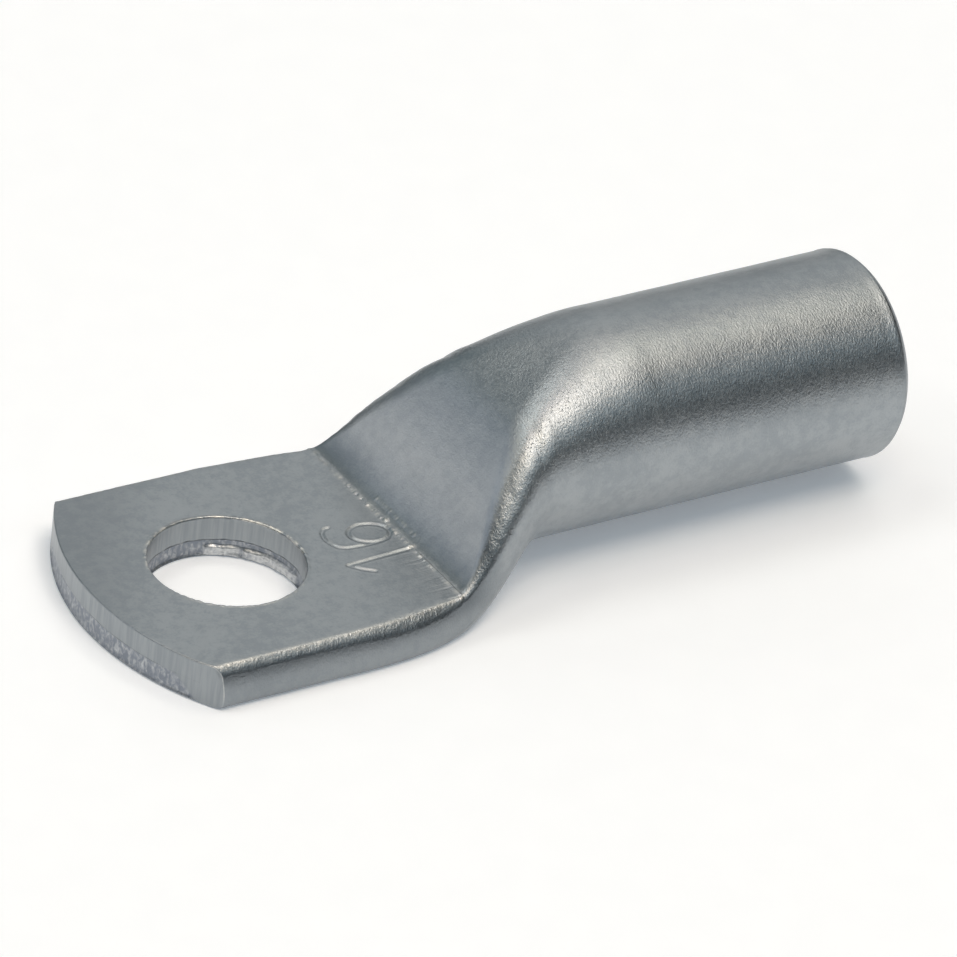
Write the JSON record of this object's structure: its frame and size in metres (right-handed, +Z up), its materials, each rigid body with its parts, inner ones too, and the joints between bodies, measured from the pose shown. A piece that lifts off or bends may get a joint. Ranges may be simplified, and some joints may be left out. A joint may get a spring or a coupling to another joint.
{
  "type": "ring terminal",
  "caption": "Tubular cable lug: a round open barrel for a stripped conductor, pressed flat at one end into a palm with a stud hole.",
  "frame": {"origin": "centre of the stud hole on the underside of the palm", "axes": "+X along the lug to the barrel's mouth, +Z up out of the palm along the stud hole, +Y across the palm"},
  "size_m": [0.0306, 0.0116, 0.0078],
  "materials": {
    "tinned_copper": "satin tin plating on copper, finely pitted on the round barrel"
  },
  "bodies": {
    "root": {"cable_lug": "tinned_copper"}
  },
  "joints": []
}
